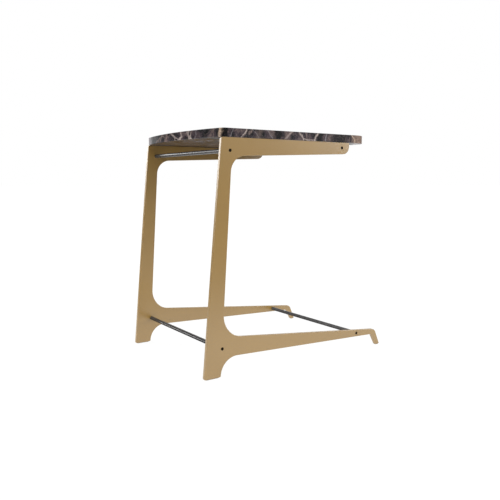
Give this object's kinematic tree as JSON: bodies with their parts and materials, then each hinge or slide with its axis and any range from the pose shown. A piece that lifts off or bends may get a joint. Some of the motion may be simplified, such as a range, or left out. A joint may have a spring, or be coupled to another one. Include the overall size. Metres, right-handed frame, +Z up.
{
  "type": "c-shaped side table",
  "caption": "C-shaped side table: a polished veined stone slab on flat bronze-coated side plates that reach forward along the floor, held apart by round dark spreader rods.",
  "frame": {"origin": "on the floor, at the middle of the table's width and depth", "axes": "+Z up, +Y towards the toes and the open side of the C, +X towards the side plate that is nearer in the picture"},
  "size_m": [0.393, 0.5626, 0.5715],
  "materials": {
    "stone": "polished dark marble with pale and tan veins",
    "plate_coat": "satin bronze-gold coat on steel plate",
    "rod_steel": "dark gunmetal, semi-gloss",
    "screw_steel": "blackened steel",
    "silicone": "dark silicone",
    "glide": "matte nylon"
  },
  "bodies": {
    "root": {"stone_top": "stone", "rear_lower_rod": "rod_steel", "rear_lower_screw_right": "screw_steel", "rear_lower_screw_left": "screw_steel", "front_lower_rod": "rod_steel", "front_lower_screw_right": "screw_steel", "front_lower_screw_left": "screw_steel", "rear_upper_rod": "rod_steel", "rear_upper_screw_right": "screw_steel", "rear_upper_screw_left": "screw_steel", "front_upper_rod": "rod_steel", "front_upper_screw_right": "screw_steel", "front_upper_screw_left": "screw_steel", "side_plate_right": "plate_coat", "bond_strip_right": "silicone", "rear_glide_right": "glide", "front_glide_right": "glide", "side_plate_left": "plate_coat", "bond_strip_left": "silicone", "rear_glide_left": "glide", "front_glide_left": "glide"}
  },
  "joints": []
}
